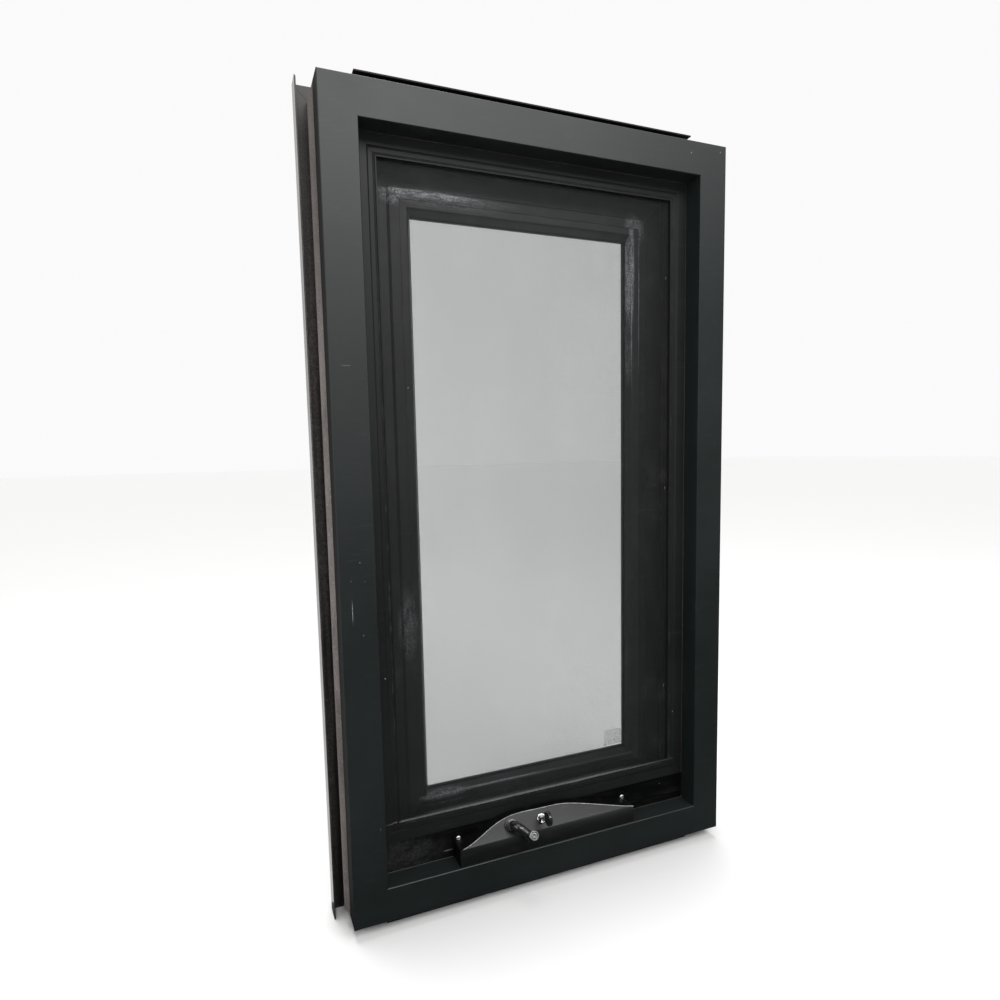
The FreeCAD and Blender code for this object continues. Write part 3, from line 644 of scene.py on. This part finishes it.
crest = [made for made in bpy.context.selected_objects if made != shell][0]
bpy.data.objects.remove(shell)
crest.name = "cover_crest_highlight"
bpy.ops.object.select_all(action="DESELECT")
crest.select_set(True)
bpy.context.view_layer.objects.active = crest
bpy.ops.object.convert(target="CURVE")
crest.data.bevel_depth = crest_radius
crest.data.bevel_resolution = 2
crest.data.use_fill_caps = True
bpy.ops.object.convert(target="MESH")
crest = bpy.context.object
# Painted highlight: the bead's pale colour stands in for the light on the crest
crest_highlight, tree, shader, place = material("crest_highlight")
thin = noise(tree, place, scale=300.0, detail=4.0, rough=0.7)
pale = mixed(tree, ramp(tree, thin, 0.3, 0.7), (0.24, 0.25, 0.25, 1), (0.60, 0.61, 0.61, 1))
tree.links.new(pale, shader.inputs["Base Color"])
tree.links.new(ramp(tree, thin, 0.2, 0.8, to_low=0.3, to_high=0.5), shader.inputs["Roughness"])
bump(tree, shader, thin, strength=0.1)
crest.data.materials.clear()
crest.data.materials.append(crest_highlight)
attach(crest, "window")

# The back plate of the winder is flat strip in the upstand's near-black coat,
# painted shade, and a small zinc plated pin is set in the front wall of the cover.
dress("winder_back_plate", upstand_shade_coat, ease=0.3)
low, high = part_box("winder_cover")
pin_height = 0.3 * MM
pan_screws("cover_pin", [(-0.1415, low[1] + pin_height, 0.0779)], radius=1.3 * MM, height=pin_height,
           turns=(0.4,))

# Crank: a bent arm in gloss black enamel on a black boss, with a turned knob
# whose end is bare satin metal.
enamel, tree, shader, place = material("black_enamel")
scuffs = noise(tree, place, scale=150.0, detail=5.0, rough=0.7)
black = mixed(tree, ramp(tree, scuffs, 0.5, 0.8), (0.010, 0.010, 0.010, 1), (0.03, 0.03, 0.03, 1))
tree.links.new(black, shader.inputs["Base Color"])
tree.links.new(ramp(tree, scuffs, 0.3, 0.8, to_low=0.10, to_high=0.24), shader.inputs["Roughness"])
shader.inputs["Coat Weight"].default_value = 0.5
bump(tree, shader, noise(tree, place, scale=900.0), strength=0.15)
for name in ("crank_boss", "crank_arm"):
    dress(name, enamel, segments=3, rounded=True)
turned, tree, shader, place = material("turned_knob")
rings = noise(tree, place, scale=1600.0, detail=3.0, rough=0.6)
grey = mixed(tree, ramp(tree, rings, 0.3, 0.7), (0.16, 0.16, 0.16, 1), (0.24, 0.24, 0.24, 1))
tree.links.new(grey, shader.inputs["Base Color"])
tree.links.new(ramp(tree, rings, 0.2, 0.8, to_low=0.28, to_high=0.42), shader.inputs["Roughness"])
shader.inputs["Metallic"].default_value = 1.0
bump(tree, shader, rings, strength=0.2)
dress("crank_knob", turned, ease=0.35, segments=3, rounded=True)

# Key lock: a turned and chromed barrel with a keyway, set square in the
# sloped face. Its ring groove and the middle round the keyway are painted
# near black, painted shade in these recesses.
groove_inner = 4.1 * MM
groove_outer = 5.6 * MM
keyway_reach = 1.9 * MM
chrome, tree, shader, place = material("lock_chrome")
haze = noise(tree, place, scale=400.0, detail=5.0, rough=0.7)
bright = mixed(tree, ramp(tree, haze, 0.4, 0.8), (0.82, 0.82, 0.82, 1), (0.6, 0.6, 0.6, 1))
low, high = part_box("lock_barrel")
lock_centre = (Vector(low) + Vector(high)) / 2
aside = vectors(tree, "CROSS_PRODUCT", vectors(tree, "SUBTRACT", place, lock_centre), lean)
radius = vectors(tree, "LENGTH", aside)
groove = sums(tree, "MULTIPLY", ramp(tree, radius, groove_inner, groove_inner + 0.4 * MM),
              fade(tree, radius, groove_outer - 0.3 * MM, groove_outer))
bore = fade(tree, radius, keyway_reach - 0.5 * MM, keyway_reach)
# Painted shade: the groove and the keyway's middle turn near black
groove_and_keyway_shade = sums(tree, "MAXIMUM", groove, bore)
tree.links.new(mixed(tree, groove_and_keyway_shade, bright, (0.03, 0.03, 0.03, 1)), shader.inputs["Base Color"])
tree.links.new(ramp(tree, haze, 0.3, 0.8, to_low=0.06, to_high=0.22), shader.inputs["Roughness"])
shader.inputs["Metallic"].default_value = 1.0
bump(tree, shader, haze, strength=0.05)
dress("lock_barrel", chrome, ease=0.25, rounded=True)

# The key is left in the lock. Its steel blade shows for a short way, and its
# head is moulded on in gloss black plastic.
blade_end = 16 * MM
key_skin, tree, shader, place = material("key_head_and_blade")
along = vectors(tree, "DOT_PRODUCT", vectors(tree, "SUBTRACT", place, lock_centre), lean)
is_blade = fade(tree, along, blade_end - 0.1 * MM, blade_end + 0.1 * MM)
grain = noise(tree, place, scale=800.0, detail=3.0, rough=0.6)
plastic = mixed(tree, ramp(tree, grain, 0.4, 0.8), (0.010, 0.010, 0.010, 1), (0.022, 0.022, 0.022, 1))
tree.links.new(mixed(tree, is_blade, plastic, (0.62, 0.6, 0.55, 1)), shader.inputs["Base Color"])
tree.links.new(is_blade, shader.inputs["Metallic"])
tree.links.new(ramp(tree, grain, 0.2, 0.8, to_low=0.12, to_high=0.26), shader.inputs["Roughness"])
shader.inputs["Coat Weight"].default_value = 0.4
bump(tree, shader, grain, strength=0.1)
dress("lock_key", key_skin, ease=1.2, segments=4, rounded=True)

# The floor is a wide sheet of pale matt board under the window, faintly
# mottled. It belongs to the studio, as the lamps and the cards do.
floor_width = 60.0
bpy.ops.mesh.primitive_plane_add(size=floor_width, location=(0.0, 0.0, 0.0))
floor = bpy.context.object
floor.name = "floor"
board, tree, shader, place = material("pale_floor")
mottle = noise(tree, place, scale=3.0, detail=5.0, rough=0.6)
pale = mixed(tree, mottle, (0.965, 0.965, 0.96, 1), (0.985, 0.985, 0.98, 1))
tree.links.new(pale, shader.inputs["Base Color"])
tree.links.new(ramp(tree, mottle, 0.2, 0.8, to_low=0.75, to_high=0.9), shader.inputs["Roughness"])
shader.inputs["Specular IOR Level"].default_value = 0.1
bump(tree, shader, noise(tree, place, scale=200.0), strength=0.1, distance=0.5 * MM)
floor.data.materials.append(board)


# Three soft boxes light the room side: a broad one from above, a low one and
# one from the left. A soft overhead light and a pale sky fill in the rest.
def lamp(name, place, target, width, height, radiance):
    # Soft box given by what it looks like: watts follow from its area
    bpy.ops.object.light_add(type="AREA", location=place)
    made = bpy.context.object
    made.name = name
    made.data.shape = "RECTANGLE"
    made.data.size = width
    made.data.size_y = height
    made.data.energy = radiance * math.pi * width * height
    turn = (Vector(target) - Vector(place)).to_track_quat("-Z", "Y")
    made.rotation_euler = turn.to_euler()


lamp("room_lamp", (0.22, -2.1, 2.35), (-0.1, 0.0, 0.8), width=2.6, height=1.3, radiance=5.5)
lamp("low_lamp", (0.05, -2.6, 1.05), (-0.1, 0.0, 0.7), width=0.9, height=1.1, radiance=1.25)
lamp("side_lamp", (-2.3, -1.2, 1.5), (0.0, 0.0, 0.9), width=0.5, height=1.8, radiance=3.4)
bpy.ops.object.light_add(type="SUN", location=(0.0, 1.0, 4.0))
overhead = bpy.context.object
overhead.name = "overhead_light"
overhead.data.energy = 1.9
overhead.data.angle = math.radians(25)
overhead.rotation_euler = (math.radians(-8), 0.0, 0.0)

# The sky is full bright to the camera, through the glass and in reflections,
# and dimmer as a light, so that the dark coat keeps its depth.
sky_as_light = 0.36
world = bpy.data.worlds.new("studio")
bpy.context.scene.world = world
world.use_nodes = True
tree = world.node_tree
sky = tree.nodes["Background"]
sky.inputs["Color"].default_value = (0.96, 0.96, 0.96, 1)
rays = tree.nodes.new("ShaderNodeLightPath")
seen = sums(tree, "MAXIMUM", rays.outputs["Is Camera Ray"], rays.outputs["Is Transmission Ray"])
seen = sums(tree, "MAXIMUM", seen, rays.outputs["Is Glossy Ray"])
strength = tree.nodes.new("ShaderNodeMapRange")
strength.inputs["To Min"].default_value = sky_as_light
strength.inputs["To Max"].default_value = 1.0
tree.links.new(seen, strength.inputs["Value"])
tree.links.new(strength.outputs["Result"], sky.inputs["Strength"])

# Black cloth cards behind the camera and on the floor before the window keep
# the room side free of pale reflections; only glossy rays meet them.
card_cloth, tree, shader, place = material("card_cloth")
black = mixed(tree, noise(tree, place, scale=40.0), (0.004, 0.004, 0.004, 1), (0.010, 0.010, 0.010, 1))
tree.links.new(black, shader.inputs["Base Color"])
shader.inputs["Roughness"].default_value = 1.0
shader.inputs["Specular IOR Level"].default_value = 0.0
for name, place, turn, size in (
        ("back_card", (2.2, -3.6, 1.9), (-90, 0, -8), (14.0, 4.6)),
        ("ground_card", (2.2, -1.78, 0.002), (0, 0, 0), (14.0, 3.64))):
    bpy.ops.mesh.primitive_plane_add(size=1.0, location=place, rotation=[math.radians(a) for a in turn])
    card = bpy.context.object
    card.name = name
    card.scale = (size[0], size[1], 1.0)
    card.data.materials.append(card_cloth)
    card.visible_camera = False
    card.visible_diffuse = False
    card.visible_transmission = False
    card.visible_shadow = False

# The camera stands to the left of the window, less than a metre before it and
# a little above its middle, turned to the right and tipped slightly down.
camera_place = (-0.427, -0.893, 0.648)
side_way = (0.922924, -0.384482, -0.019616)
up_way = (0.057549, 0.087403, 0.994509)
back_way = (-0.380656, -0.918986, 0.102793)
camera_data = bpy.data.cameras.new("photo_camera")
camera_data.sensor_width = 36.0
camera_data.lens = 23.98
camera_data.shift_y = 0.020
camera_data.clip_start = 0.01
camera = bpy.data.objects.new("photo_camera", camera_data)
bpy.context.collection.objects.link(camera)
rows = [(side_way[n], up_way[n], back_way[n], camera_place[n]) for n in range(3)]
camera.matrix_world = Matrix(rows + [(0.0, 0.0, 0.0, 1.0)])
bpy.context.scene.camera = camera
bpy.context.scene.view_settings.view_transform = "Standard"
